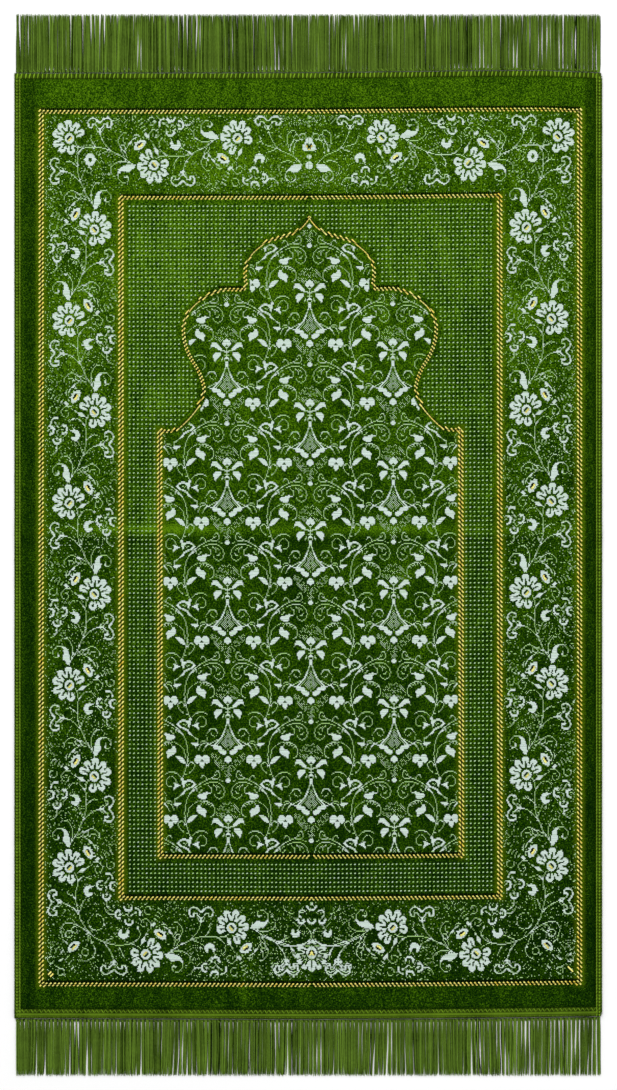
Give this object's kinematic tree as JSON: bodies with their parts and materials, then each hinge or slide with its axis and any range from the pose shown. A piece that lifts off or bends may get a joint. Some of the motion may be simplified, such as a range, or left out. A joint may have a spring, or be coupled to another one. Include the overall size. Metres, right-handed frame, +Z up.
{
  "type": "prayer rug",
  "caption": "Flat rectangular pile rug for prayer with an arched niche, a dotted field, a floral border, overlocked edges and a fringe at each end.",
  "frame": {"origin": "middle of the rug's footprint on the floor, at the underside", "axes": "+X across the rug to the right, +Y along the rug towards the point of the arch, +Z up from the pile"},
  "size_m": [0.68, 1.2282, 0.0056],
  "materials": {
    "pile": "woven velvet pile in dark green with ivory figures and gold lines",
    "edging_yarn": "overlocked green yarn with paler looping stitches",
    "fringe_yarn": "soft twisted green yarn"
  },
  "bodies": {
    "root": {"rug_cloth": "pile", "edging_left": "edging_yarn", "edging_right": "edging_yarn", "edging_top": "edging_yarn", "edging_bottom": "edging_yarn", "fringe_top": "fringe_yarn", "fringe_bottom": "fringe_yarn"}
  },
  "joints": []
}
